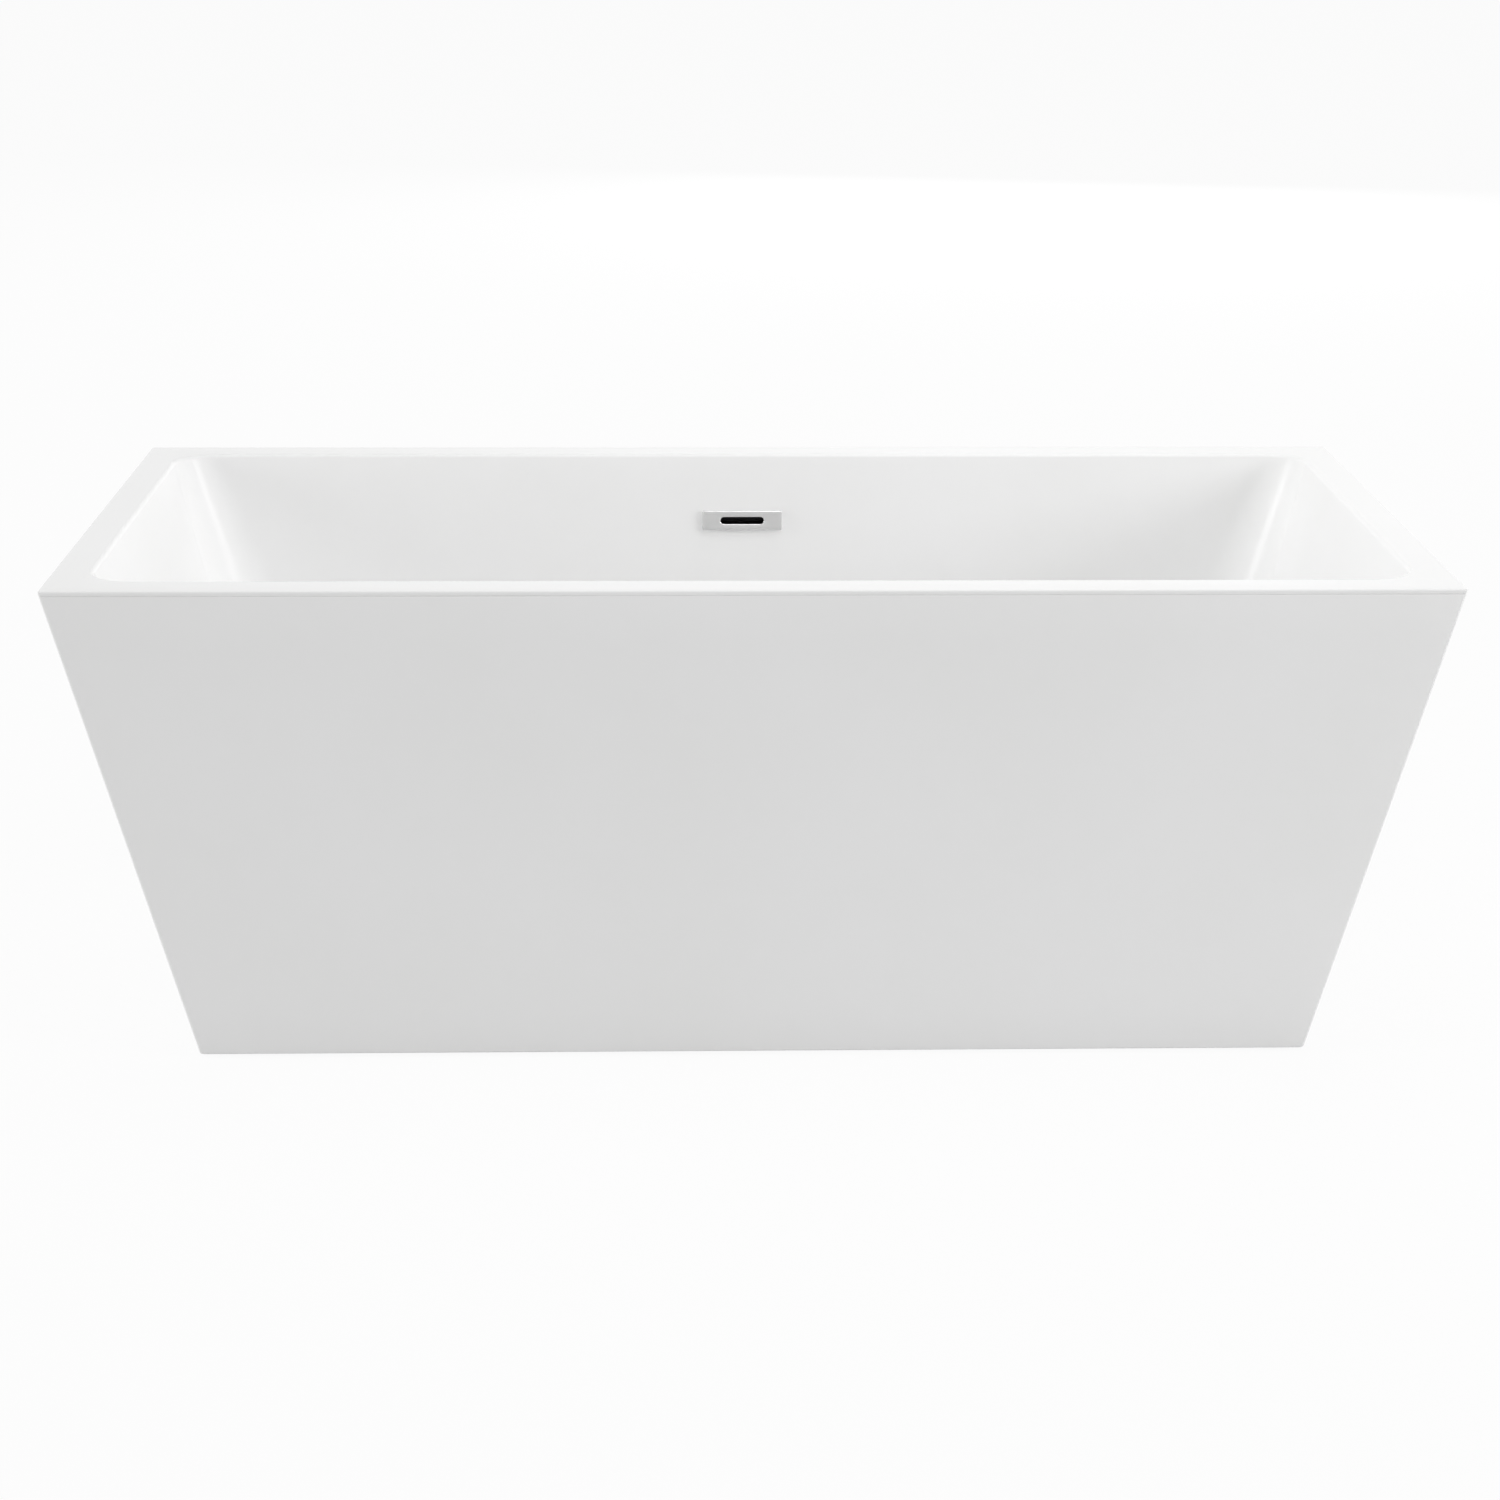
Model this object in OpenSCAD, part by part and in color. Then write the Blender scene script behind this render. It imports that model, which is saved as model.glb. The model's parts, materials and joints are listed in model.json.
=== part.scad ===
// Freestanding double-walled acrylic bathtub with a steel underframe, five levelling feet,
// a slotted overflow in the back wall and a pop-up waste in the floor.
// Millimetres. X runs along the tub, the back wall is at +Y, Z is up. The origin is on the floor,
// under the middle of the tub.

/* [Tub] */
// Overall length over the rim
tub_l = 1700; // [1400:10:2100]
// Overall width over the rim
tub_w = 800; // [660:10:980]
// Overall height, from the floor to the top of the rim
tub_h = 600; // [500:5:740]
// Lean of both ends from the vertical, in degrees
end_lean = 15; // [0:1:18]
// Air gap under the skirt, which the feet can also be screwed in by
floor_gap = 4; // [2:0.5:5]

/* [Basin] */
// Width of the flat rim at each end
rim_end_w = 48; // [38:1:80]
// Width of the flat rim along each side
rim_side_w = 50; // [42:1:90]
// Thickness of the acrylic and its glass-fibre backing
basin_t = 6; // [4:0.5:8]
// Height of the bath's floor above the ground
floor_h = 150; // [125:1:190]
// How far the bath's floor falls towards the waste
floor_fall = 3; // [1:0.5:6]
// Lean of the long walls from the vertical, in degrees
side_lean = 4; // [0:0.5:6]
// Radius of the sweep from an end wall into the floor
end_sweep = 90; // [60:1:120]
// Radius of the sweep from a long wall into the floor
side_sweep = 60; // [40:1:75]
// Corner radius of the bathing well at the rim
corner_top = 55; // [40:1:80]
// Corner radius of the bathing well at the foot of its walls
corner_foot = 110; // [95:1:140]
// Rounding of the rim's inner edge
lip_r = 5; // [2:0.5:8]

/* [Skirt] */
// Thickness of the outer skirt
skirt_t = 5; // [3:0.5:7]
// Width of the skirt's turned-in bottom edge
skirt_lip_w = 30; // [15:1:36]
// Width of the timber battens under the rim
batten_w = 24; // [12:1:26]
// Height of the timber battens under the rim
batten_h = 18; // [10:1:30]

/* [Frame] */
// Thickness of the board bonded under the floor
board_t = 12; // [9:1:18]
// Width of the board's clear margin inside the flat of the floor
board_margin = 25; // [15:1:60]
// Side of the square steel tubes
tube_s = 25; // [20:1:30]
// Wall of the square steel tubes
tube_wall = 1.5; // [1:0.1:3]
// Distance from the ends of the skirt's foot to the cross tubes
cross_inset = 240; // [150:5:300]
// Distance from the outside of the skirt to the corner feet
foot_inset = 100; // [80:1:120]
// Distance from the corner feet in to the rails
rail_inset = 80; // [60:1:90]
// Distance from the middle of the tub forward to the centre foot
centre_foot_y = 60; // [55:1:90]
// Thickness of the steel angle brackets
bracket_t = 3; // [2:0.5:4]
// Width of the steel angle brackets
bracket_w = 24; // [16:1:40]

/* [Feet] */
// Diameter of the threaded rods
rod_d = 12; // [10:1:14]
// Width across the flats of the hexagon nuts
nut_af = 19; // [17:1:22]
// Thickness of the hexagon nuts
nut_h = 10; // [8:0.5:12]
// Diameter of the foot pads
pad_d = 54; // [40:1:64]
// Height of the foot pads
pad_h = 18; // [14:1:24]

/* [Overflow] */
// Distance from the rim down to the middle of the overflow
overflow_drop = 95; // [70:1:120]
// Length of the overflow's cover plate
cover_l = 114; // [96:1:150]
// Height of the overflow's cover plate
cover_h = 28; // [24:1:40]
// How far the cover plate stands off the wall
cover_t = 6; // [5:0.5:9]
// Length of the slot in the cover plate
slot_l = 62; // [40:1:66]
// Height of the slot in the cover plate
slot_h = 10; // [5:0.5:12]
// Outer diameter of the overflow pipe
pipe_d = 26; // [20:1:28]

/* [Waste] */
// Distance from the back rail forward to the middle of the waste
waste_inset = 70; // [60:1:90]
// Outer diameter of the waste's flange
flange_d = 70; // [64:1:80]
// Outer diameter of the waste's threaded body
thread_d = 48; // [42:1:52]
// Bore of the waste
waste_bore = 40; // [30:1:40]
// Outer diameter of the outlet pipe
outlet_d = 40; // [34:1:42]
// Height of the outlet's open end above the floor
outlet_h = 12; // [5:1:15]
// Diameter of the stopper's cap
cap_d = 62; // [54:1:64]
// How far the stopper lifts
stopper_lift = 10; // [6:1:12]

/* [Hidden] */
$fn = 48;
arc_n = 8;                 // chords in each corner of the bowl, an even number
sweep_n = 8;               // rings in the floor sweep
wall_n = 3;                // rings up the straight wall
lip_n = 3;                 // rings round the rim's inner edge
slip = 0.05;               // radial clearance of what turns or slides on a shaft
face_gap = 0.1;            // clearance between faces that turn on each other
over = 1;                  // how far a cut runs past the face it opens

well_a = tub_l / 2 - rim_end_w;              // half length of the well at the rim
well_b = tub_w / 2 - rim_side_w;             // half width of the well at the rim
rim_under = tub_h - basin_t;                 // underside of the rim
under_z = floor_h - floor_fall - basin_t;    // underside of the basin
skirt_y = tub_w / 2 - skirt_t;               // inner face of the skirt's long walls
foot_half_l = tub_l / 2 - (tub_h - floor_gap) * tan(end_lean);

board_z = under_z - board_t;                 // underside of the board
rail_z = board_z - tube_s;                   // underside of the rails
cross_z = rail_z - tube_s;                   // underside of the cross tubes
cross_x = foot_half_l - cross_inset;
foot_y = tub_w / 2 - foot_inset;
rail_y = foot_y - rail_inset;
rail_overhang = 60;                          // how far the rails run past the cross tubes
cross_overhang = 36;                         // how far the cross tubes run past the feet
rail_half_l = cross_x + rail_overhang;
cross_half_l = foot_y + cross_overhang;
end_x = floor_half(well_a, end_lean, end_sweep);
end_y = floor_half(well_b, side_lean, side_sweep);
screw_r = 2;                                 // shank of every self-tapping screw
screw_head_r = 4.5;
screw_head_h = 2.5;
board_screw_bite = 10;                       // length of a screw in the board
board_screw_x = [-0.8, -0.27, 0.27, 0.8] * cross_x;  // spread between the cross tubes
board_hole_gap = 15;                         // from the waste's flange to the board's hole
cap_plug = 8;                                // how far a cap's plug goes into its tube
bracket_y = foot_y + nut_af / 2 + 3.5;       // start of a bracket, clear of the corner foot's nut
bracket_screw_y = bracket_y + screw_head_r + 1.5;
bracket_leg = 40;                            // height of a bracket's upright leg

rod_r = rod_d / 2;
rod_foot_z = 6;                              // the rod's lower end, in the pad
rod_top = under_z - floor_gap - 1;           // clear of the basin when a foot is wound right in
FEET = [["front_left", [-cross_x, -foot_y]], ["front_right", [cross_x, -foot_y]],
        ["back_left", [-cross_x, foot_y]], ["back_right", [cross_x, foot_y]],
        ["center", [0, -centre_foot_y]]];

overflow_z = tub_h - overflow_drop;
pipe_r = pipe_d / 2;
pipe_wall = 2;
socket_wall = 2.5;
socket_r = pipe_r + socket_wall;             // outside of every pipe socket
slip_nut_r = socket_r + 2.5;
slip_washer_t = 3;
socket_depth = 16;                           // how far a pipe goes into a socket
socket_stop = 2;                             // from a pipe's end to the root of its socket
pipe_y = skirt_y - 3 - slip_nut_r;           // the overflow pipe stands just inside the skirt
cover_wall = 1.6;
plate_t = 3;                                 // the overflow's clamping plate
gasket_t = 3;
fixing_x = cover_l / 2 - 10;                 // the overflow's screws
fixing_bite = 10;                            // length of an overflow screw in the housing
housing_wall = 3;
housing_depth = pipe_y + socket_r - wall_y(overflow_z) - basin_t - gasket_t;
housing_l = cover_l - 8;
housing_h = cover_h - 4;
housing_foot_z = overflow_z - housing_h / 2 - 24;
bend_r = 24;                                 // centreline radius of the elbow

waste_y = rail_y - waste_inset;
waste_z = floor_h - floor_fall;              // the floor at the waste
flange_t = 3;
thread_r = thread_d / 2;
waste_r = waste_bore / 2;
waste_gasket_t = 4;
waste_washer_t = 2;
locknut_h = 12;
waste_gasket_z = under_z - waste_gasket_t;
waste_washer_z = waste_gasket_z - waste_washer_t;
waste_nut_z = waste_washer_z - locknut_h;
tee_top = waste_nut_z - 2;
tee_wall = 4;
thread_end = tee_top - 25;                   // the tee is screwed this far up the waste's body
branch_z = thread_end - socket_r;            // axis of the pipe that joins overflow and waste
tee_foot = branch_z - socket_r - 9;
branch_socket_y = waste_y + thread_r + 20;   // mouth of the tee's side socket
outlet_r = outlet_d / 2;
outlet_wall = 2;
union_washer_t = 3;
tail_flange_t = 3;
tail_flange_r = thread_r - 0.6;              // clear of the union nut's thread
union_base_t = 4;
tail_flange_z = tee_foot - union_washer_t - tail_flange_t;
union_foot = tail_flange_z - union_base_t;
neck_step = 0.3;                             // the tailpiece is slimmer inside the nut
neck_below_nut = 2;
union_top = branch_z - socket_r - 1;         // clear of the tee's side socket
hub_z = waste_z - 30;                        // the cross bars in the waste's throat
hub_h = 8;
hub_r = 9;
cartridge_r = 6;
cartridge_lip = 3;                           // thickness of the cartridge's flange on the hub
stem_r = 3.5;
stem_guide = 10;                             // length of stem left in the cartridge when it is up
stem_foot = hub_z + hub_h + cartridge_lip - stem_guide - stopper_lift;
spring_foot = stem_foot - 12;
cap_z = waste_z + 1;                         // underside of the stopper's cap when it is down
seal_gap = 0.3;                              // from the closed seal down to its seat

WHITE = [0.93, 0.93, 0.93];
CHROME = [0.78, 0.79, 0.80];
STEEL = [0.62, 0.64, 0.66];
TIMBER = [0.76, 0.62, 0.42];
RUBBER = [0.10, 0.10, 0.10];
PVC = [0.88, 0.88, 0.86];

// ---- Shape of the bowl ----------------------------------------------------------------------

// Height at which a wall with this lean runs into its floor sweep
function sweep_top(lean, r, floor_z) = floor_z + r * (1 - sin(lean));

// How much of the inset at height z belongs to the floor sweep
function fold(z, lean, r, floor_z) =
    z >= sweep_top(lean, r, floor_z) ? 0
    : r * (cos(lean) - sqrt(max(0, 1 - pow(1 - (z - floor_z) / r, 2))));

// Inset of a wall at height z from where it stands at the rim
function wall_inset(z, lean, r, floor_z) =
    (tub_h - max(z, sweep_top(lean, r, floor_z))) * tan(lean) + fold(z, lean, r, floor_z);

// How far the rounded edge of the rim opens the well at height z
function flare(z) =
    let (h = max(0, z - (tub_h - lip_r)))
    lip_r - sqrt(max(0, lip_r * lip_r - h * h));

// Half size of the flat floor on the well's side
function floor_half(half, lean, r) = half - wall_inset(floor_h, lean, r, floor_h);

// Inner face of the back wall at height z
function wall_y(z) = well_b - (tub_h - z) * tan(side_lean);

// Corner radius of the bowl's wall at height z
function corner_r(z) = corner_top + (corner_foot - corner_top) * (tub_h - z) / (tub_h - floor_h);

// One level ring of the bowl. grow is 0 on the bathing side and the wall's thickness on the back.
function bowl_ring(z, grow) =
    let (drop = grow > 0 ? grow + floor_fall : 0,
         floor_z = floor_h - drop,
         a = well_a + grow / cos(end_lean) - wall_inset(z, end_lean, end_sweep + drop, floor_z),
         b = well_b + grow / cos(side_lean) - wall_inset(z, side_lean, side_sweep + drop, floor_z),
         open = grow > 0 ? 0 : flare(z),
         r = corner_r(max(z, floor_h)) + grow - fold(z, side_lean, side_sweep + drop, floor_z))
    round_ring(a + open, b + open, r + open, z);

// Rounded rectangle of half sizes a and b, anticlockwise from +X
function round_ring(a, b, r, z) =
    [for (q = [0:3], k = [0:arc_n])
        let (turn = 90 * (q + k / arc_n),
             sx = q == 0 || q == 3 ? 1 : -1,
             sy = q < 2 ? 1 : -1)
        [sx * (a - r) + r * cos(turn), sy * (b - r) + r * sin(turn), z]];

// Sharp rectangle of half sizes a and b with as many points as a rounded ring.
// The ones next to a corner start level with the arcs of a well of half sizes ai and bi.
function square_ring(a, b, ai, bi, z) =
    [for (q = [0:3], k = [0:arc_n])
        let (s = q % 2 == 0 ? k / arc_n : 1 - k / arc_n,
             sx = q == 0 || q == 3 ? 1 : -1,
             sy = q < 2 ? 1 : -1,
             x = s <= 0.5 ? a : a + (ai - a) * (2 * s - 1),
             y = s <= 0.5 ? bi + (b - bi) * 2 * s : b)
        [sx * x, sy * y, z]];

// Heights of the rings from the floor to the top of the straight wall
function bowl_levels(drop, top) =
    let (floor_z = floor_h - drop,
         mid = max(sweep_top(end_lean, end_sweep + drop, floor_z),
                   sweep_top(side_lean, side_sweep + drop, floor_z)))
    concat([for (k = [0:sweep_n]) floor_z + (mid - floor_z) * (1 - cos(90 * k / sweep_n))],
           [for (k = [1:wall_n]) mid + (top - mid) * k / wall_n]);

// Triangles that join each ring of n points to the next one
function skin(rings, n) =
    [for (i = [0:rings - 2], j = [0:n - 1], half = [0, 1])
        let (p = i * n + j, q = i * n + (j + 1) % n)
        half == 0 ? [p, q, q + n] : [p, q + n, p + n]];

// ---- Helpers --------------------------------------------------------------------------------

// Solid with vertical long sides and leaning ends, set in from the tub's outline
module leaning_block(inset, half_w, z0, z1) {
    x0 = tub_l / 2 - (tub_h - z0) * tan(end_lean) - inset / cos(end_lean);
    x1 = tub_l / 2 - (tub_h - z1) * tan(end_lean) - inset / cos(end_lean);
    rotate([90, 0, 0])
        linear_extrude(2 * half_w, center = true)
            polygon([[-x0, z0], [x0, z0], [x1, z1], [-x1, z1]]);
}

// Flat plate with rounded corners, centred, standing on z = 0
module round_plate(l, w, t, r) {
    translate([-l / 2, r - w / 2, 0]) cube([l, w - 2 * r, t]);
    translate([r - l / 2, -w / 2, 0]) cube([l - 2 * r, w, t]);
    for (x = [-1, 1], y = [-1, 1])
        translate([x * (l / 2 - r), y * (w / 2 - r), 0]) cylinder(r = r, h = t);
}

// Round-ended slot of overall size l by w, for cutting
module slot(l, w, t) {
    translate([-(l - w) / 2, -w / 2, 0]) cube([l - w, w, t]);
    for (x = [-1, 1]) translate([x * (l - w) / 2, 0, 0]) cylinder(d = w, h = t);
}

// Ring of bore r1 and outside r2, standing on z = 0
module ring(r1, r2, h) {
    difference() {
        cylinder(r = r2, h = h);
        translate([0, 0, -over]) cylinder(r = r1, h = h + 2 * over);
    }
}

// Square tube along X, centred on Y, standing on z = 0
module tube_x(half_l) {
    difference() {
        translate([-half_l, -tube_s / 2, 0]) cube([2 * half_l, tube_s, tube_s]);
        translate([-half_l - over, tube_wall - tube_s / 2, tube_wall])
            cube([2 * (half_l + over), tube_s - 2 * tube_wall, tube_s - 2 * tube_wall]);
    }
}

// Hexagon nut running on a threaded rod
module hex_nut(af, bore_r, h) {
    difference() {
        cylinder(d = af / cos(30), h = h, $fn = 6);
        translate([0, 0, -over]) cylinder(r = bore_r, h = h + 2 * over);
    }
}

// Self-tapping screw, head down, with its shank going up from z = 0
module screw(shank) {
    cylinder(r = screw_r, h = shank);
    translate([0, 0, -screw_head_h]) cylinder(r = screw_head_r, h = screw_head_h);
}

// Puts its children on the inner face of the back wall, with +Z into the well
module on_back_wall() {
    translate([0, wall_y(overflow_z), overflow_z]) rotate([90 - side_lean, 0, 0]) children();
}

// Puts its children at each mouth of a pipe socket, with -Z out of the mouth
module at_sockets() {
    translate([0, pipe_y, housing_foot_z]) children();
    translate([0, pipe_y, branch_z + bend_r + socket_stop + socket_depth])
        mirror([0, 0, 1]) children();
    translate([0, pipe_y - bend_r - socket_stop - socket_depth, branch_z])
        rotate([-90, 0, 0]) children();
    translate([0, branch_socket_y, branch_z]) rotate([90, 0, 0]) children();
}

// ---- Shells ---------------------------------------------------------------------------------

module basin() {
    up = concat(bowl_levels(0, tub_h - lip_r),
                [for (k = [1:lip_n]) tub_h - lip_r + lip_r * sin(90 * k / lip_n)]);
    levels_down = bowl_levels(basin_t + floor_fall, rim_under);
    n = 4 * (arc_n + 1);
    arc_a = well_a - corner_top;
    arc_b = well_b - corner_top;
    rings = concat(
        [for (z = up) bowl_ring(z, 0)],
        [square_ring(tub_l / 2, tub_w / 2, arc_a, arc_b, tub_h)],
        [square_ring(tub_l / 2 - basin_t * tan(end_lean), tub_w / 2, arc_a, arc_b, rim_under)],
        [for (i = [len(levels_down) - 1:-1:0]) bowl_ring(levels_down[i], basin_t)]);
    low_point = [[0, waste_y, waste_z]];
    points = concat([for (r = rings, p = r) p], low_point);
    apex = len(points) - 1;
    last = (len(rings) - 1) * n;
    color(WHITE) difference() {
        polyhedron(points, concat(
            skin(len(rings), n),
            [for (j = [0:n - 1]) [apex, (j + 1) % n, j]],
            [[for (j = [0:n - 1]) last + j]]));
        translate([0, waste_y, under_z - over]) cylinder(r = thread_r + 1, h = basin_t + 10);
        translate([0, waste_y, waste_z - flange_t]) cylinder(r = flange_d / 2 + 0.2, h = 20);
        on_back_wall() translate([0, 0, -basin_t - over]) {
            slot(slot_l + 4, slot_h + 4, basin_t + 2 * over);
            for (x = [-1, 1]) translate([x * fixing_x, 0, 0])
                cylinder(r = screw_r + 0.4, h = basin_t + 2 * over);
        }
    }
}

module skirt() {
    color(WHITE) difference() {
        leaning_block(0, tub_w / 2, floor_gap, rim_under);
        leaning_block(skirt_t, skirt_y, floor_gap + skirt_t, rim_under + over);
        leaning_block(skirt_t + skirt_lip_w, skirt_y - skirt_lip_w, floor_gap - over,
                      floor_gap + skirt_t + over);
    }
}

// Timber under the rim along one long side: side is 1 at the back and -1 at the front
module batten_side(side) {
    half_l = well_a - batten_h - corner_top / 2;
    color(TIMBER) translate([-half_l, side > 0 ? skirt_y - batten_w : -skirt_y,
                             rim_under - batten_h])
        cube([2 * half_l, batten_w, batten_h]);
}

// Timber under the rim at one end: side is 1 on the right and -1 on the left
module batten_end(side) {
    half_w = well_b - corner_top;
    color(TIMBER) intersection() {
        difference() {
            leaning_block(skirt_t, half_w, rim_under - batten_h, rim_under);
            leaning_block(skirt_t + batten_w, half_w + over, rim_under - batten_h - over,
                          rim_under + over);
        }
        translate([side > 0 ? 0 : -tub_l, -tub_w / 2, 0]) cube([tub_l, tub_w, tub_h]);
    }
}

// ---- Board and frame ------------------------------------------------------------------------

module base_board() {
    color(TIMBER) difference() {
        translate([0, 0, board_z])
            round_plate(2 * (end_x - board_margin), 2 * (end_y - board_margin), board_t, 30);
        translate([0, waste_y, board_z - over])
            cylinder(r = flange_d / 2 + board_hole_gap, h = board_t + 2 * over);
        translate([0, -centre_foot_y, board_z - over])
            cylinder(r = rod_r + 4, h = board_t + 2 * over);
        for (x = board_screw_x, y = [-1, 1]) translate([x, y * rail_y, board_z - over])
            cylinder(r = screw_r, h = board_screw_bite + over);
    }
}

// Rail right under the board: side is 1 at the back and -1 at the front
module frame_rail(side) {
    color(STEEL) difference() {
        translate([0, side * rail_y, rail_z]) tube_x(rail_half_l);
        for (x = board_screw_x) translate([x, side * rail_y, rail_z - over])
            cylinder(r = screw_r, h = tube_s + 2 * over);
    }
}

// Rail that carries the centre foot, butted between the cross tubes
module frame_rail_center() {
    color(STEEL) difference() {
        translate([0, -centre_foot_y, cross_z]) tube_x(cross_x - tube_s / 2);
        translate([0, -centre_foot_y, cross_z - over])
            cylinder(r = rod_r + 0.5, h = tube_s + 2 * over);
    }
}

// Cross tube with a foot near each end: side is 1 on the right and -1 on the left
module frame_cross(side) {
    color(STEEL) difference() {
        translate([side * cross_x, 0, cross_z]) rotate([0, 0, 90]) tube_x(cross_half_l);
        for (y = [-1, 1]) {
            translate([side * cross_x, y * foot_y, cross_z - over])
                cylinder(r = rod_r + 0.5, h = tube_s + 2 * over);
            translate([side * cross_x, y * bracket_screw_y, cross_z + tube_s / 2])
                cylinder(r = screw_r, h = tube_s);
        }
    }
}

// Plastic plug in the open end of a square tube, with +X out of the tube
module tube_cap() {
    fit = tube_s - 2 * tube_wall - 0.5;
    translate([0, -tube_s / 2, 0]) cube([2, tube_s, tube_s]);
    translate([-cap_plug, -fit / 2, (tube_s - fit) / 2]) cube([cap_plug, fit, fit]);
}

module tube_caps() {
    color(RUBBER) {
        for (x = [-1, 1], y = [-1, 1]) {
            translate([x * rail_half_l, y * rail_y, rail_z])
                rotate([0, 0, x > 0 ? 0 : 180]) tube_cap();
            translate([x * cross_x, y * cross_half_l, cross_z])
                rotate([0, 0, 90 * y]) tube_cap();
        }
    }
}

module board_screws() {
    color(STEEL) for (x = board_screw_x, y = [-1, 1])
        translate([x, y * rail_y, rail_z]) screw(tube_s + board_screw_bite - over);
}

// Angle between the end of a cross tube and the skirt's long wall, drawn at the back
module skirt_bracket() {
    difference() {
        union() {
            translate([-bracket_w / 2, bracket_y, 0])
                cube([bracket_w, skirt_y - bracket_y, bracket_t]);
            translate([-bracket_w / 2, skirt_y - bracket_t, 0])
                cube([bracket_w, bracket_t, bracket_leg]);
        }
        translate([0, bracket_screw_y, -over]) cylinder(r = screw_r, h = bracket_t + 2 * over);
    }
}

module skirt_brackets() {
    color(STEEL) for (x = [-1, 1], y = [-1, 1])
        translate([x * cross_x, 0, rail_z]) rotate([0, 0, y > 0 ? 0 : 180]) skirt_bracket();
}

module bracket_screws() {
    color(STEEL) for (x = [-1, 1], y = [-1, 1])
        translate([x * cross_x, y * bracket_screw_y, rail_z + bracket_t])
            mirror([0, 0, 1]) screw(bracket_t + 6);
}

// ---- Feet, each at its place [x, y] -----------------------------------------------------------

module foot_rod(place) {
    color(STEEL) translate([place[0], place[1], rod_foot_z])
        cylinder(r = rod_r, h = rod_top - rod_foot_z);
}

module foot_pad(place) {
    pad_r = pad_d / 2;
    boss_r = rod_r + 6;
    color(RUBBER) translate([place[0], place[1], 0]) difference() {
        rotate_extrude() polygon([[0, 0], [pad_r - 2, 0], [pad_r, 2], [pad_r, rod_foot_z],
                                  [boss_r, pad_h - 4], [boss_r, pad_h], [0, pad_h]]);
        translate([0, 0, rod_foot_z]) cylinder(r = rod_r, h = pad_h);
    }
}

// The jacking nut under the tube and the lock nut over it
module foot_nuts(place) {
    color(STEEL) for (z = [cross_z - face_gap - nut_h, rail_z + face_gap])
        translate([place[0], place[1], z]) hex_nut(nut_af, rod_r + slip, nut_h);
}

// ---- Overflow -------------------------------------------------------------------------------

module overflow_cover() {
    color(CHROME) on_back_wall() difference() {
        round_plate(cover_l, cover_h, cover_t, 1.5);
        translate([0, 0, -over])
            round_plate(cover_l - 2 * cover_wall, cover_h - 2 * cover_wall,
                        cover_t - cover_wall + over, 1);
        slot(slot_l, slot_h, cover_t + over);
    }
}

module overflow_plate() {
    color(PVC) on_back_wall() difference() {
        round_plate(housing_l, housing_h - 4, plate_t, 3);
        translate([0, 0, -over]) {
            slot(slot_l + 2, slot_h + 2, plate_t + 2 * over);
            for (x = [-1, 1]) translate([x * fixing_x, 0, 0])
                cylinder(r = screw_r, h = plate_t + 2 * over);
        }
    }
}

module overflow_screws() {
    shank = plate_t + basin_t + gasket_t + fixing_bite;
    color(STEEL) on_back_wall() for (x = [-1, 1])
        translate([x * fixing_x, 0, plate_t]) {
            translate([0, 0, -shank]) cylinder(r = screw_r, h = shank);
            cylinder(r = screw_head_r - 0.8, h = 1.2);
        }
}

module overflow_gasket() {
    color(RUBBER) on_back_wall() translate([0, 0, -basin_t - gasket_t]) difference() {
        round_plate(housing_l, housing_h, gasket_t, 4);
        translate([0, 0, -over]) {
            slot(slot_l + 6, slot_h + 4, gasket_t + 2 * over);
            for (x = [-1, 1]) translate([x * fixing_x, 0, 0])
                cylinder(r = screw_r, h = gasket_t + 2 * over);
        }
    }
}

// Box behind the wall that turns the overflow down into its pipe
module overflow_housing() {
    face = -basin_t - gasket_t;
    color(PVC) difference() {
        union() {
            on_back_wall() translate([0, 0, face - housing_depth])
                round_plate(housing_l, housing_h, housing_depth, 4);
            translate([0, pipe_y, housing_foot_z])
                cylinder(r = socket_r, h = overflow_z - housing_foot_z);
        }
        on_back_wall() {
            translate([0, 0, face - housing_depth + housing_wall])
                slot(slot_l + 6, housing_h - 2 * housing_wall, housing_depth);
            for (x = [-1, 1]) translate([x * fixing_x, 0, face - fixing_bite])
                cylinder(r = screw_r, h = fixing_bite + over);
        }
        translate([0, pipe_y, housing_foot_z - over])
            cylinder(r = pipe_r, h = socket_depth + over);
        translate([0, pipe_y, housing_foot_z])
            cylinder(r = pipe_r - pipe_wall, h = overflow_z - housing_foot_z);
    }
}

module overflow_tube() {
    foot = branch_z + bend_r + socket_stop;
    color(PVC) translate([0, pipe_y, foot])
        ring(pipe_r - pipe_wall, pipe_r, housing_foot_z + socket_depth - foot);
}

// Quarter turn of a round bar from straight down to straight forward
module bend(r) {
    translate([0, -bend_r, bend_r]) rotate([0, 90, 0])
        rotate_extrude(angle = 90) translate([bend_r, 0]) circle(r);
}

module overflow_elbow() {
    inner_r = pipe_r - pipe_wall;
    mouth = socket_stop + socket_depth;
    color(PVC) translate([0, pipe_y, branch_z]) difference() {
        union() {
            bend(pipe_r + 1);
            translate([0, 0, bend_r]) cylinder(r = socket_r, h = mouth);
            translate([0, -bend_r, 0]) rotate([90, 0, 0]) cylinder(r = socket_r, h = mouth);
        }
        bend(inner_r);
        translate([0, 0, bend_r]) cylinder(r = inner_r, h = mouth);
        translate([0, 0, bend_r + socket_stop]) cylinder(r = pipe_r, h = mouth);
        translate([0, -bend_r, 0]) rotate([90, 0, 0]) cylinder(r = inner_r, h = mouth);
        translate([0, -bend_r - socket_stop, 0]) rotate([90, 0, 0])
            cylinder(r = pipe_r, h = mouth);
    }
}

module overflow_branch() {
    start = branch_socket_y - socket_depth;
    color(PVC) translate([0, start, branch_z]) rotate([-90, 0, 0])
        ring(pipe_r - pipe_wall, pipe_r, pipe_y - bend_r - socket_stop - start);
}

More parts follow.
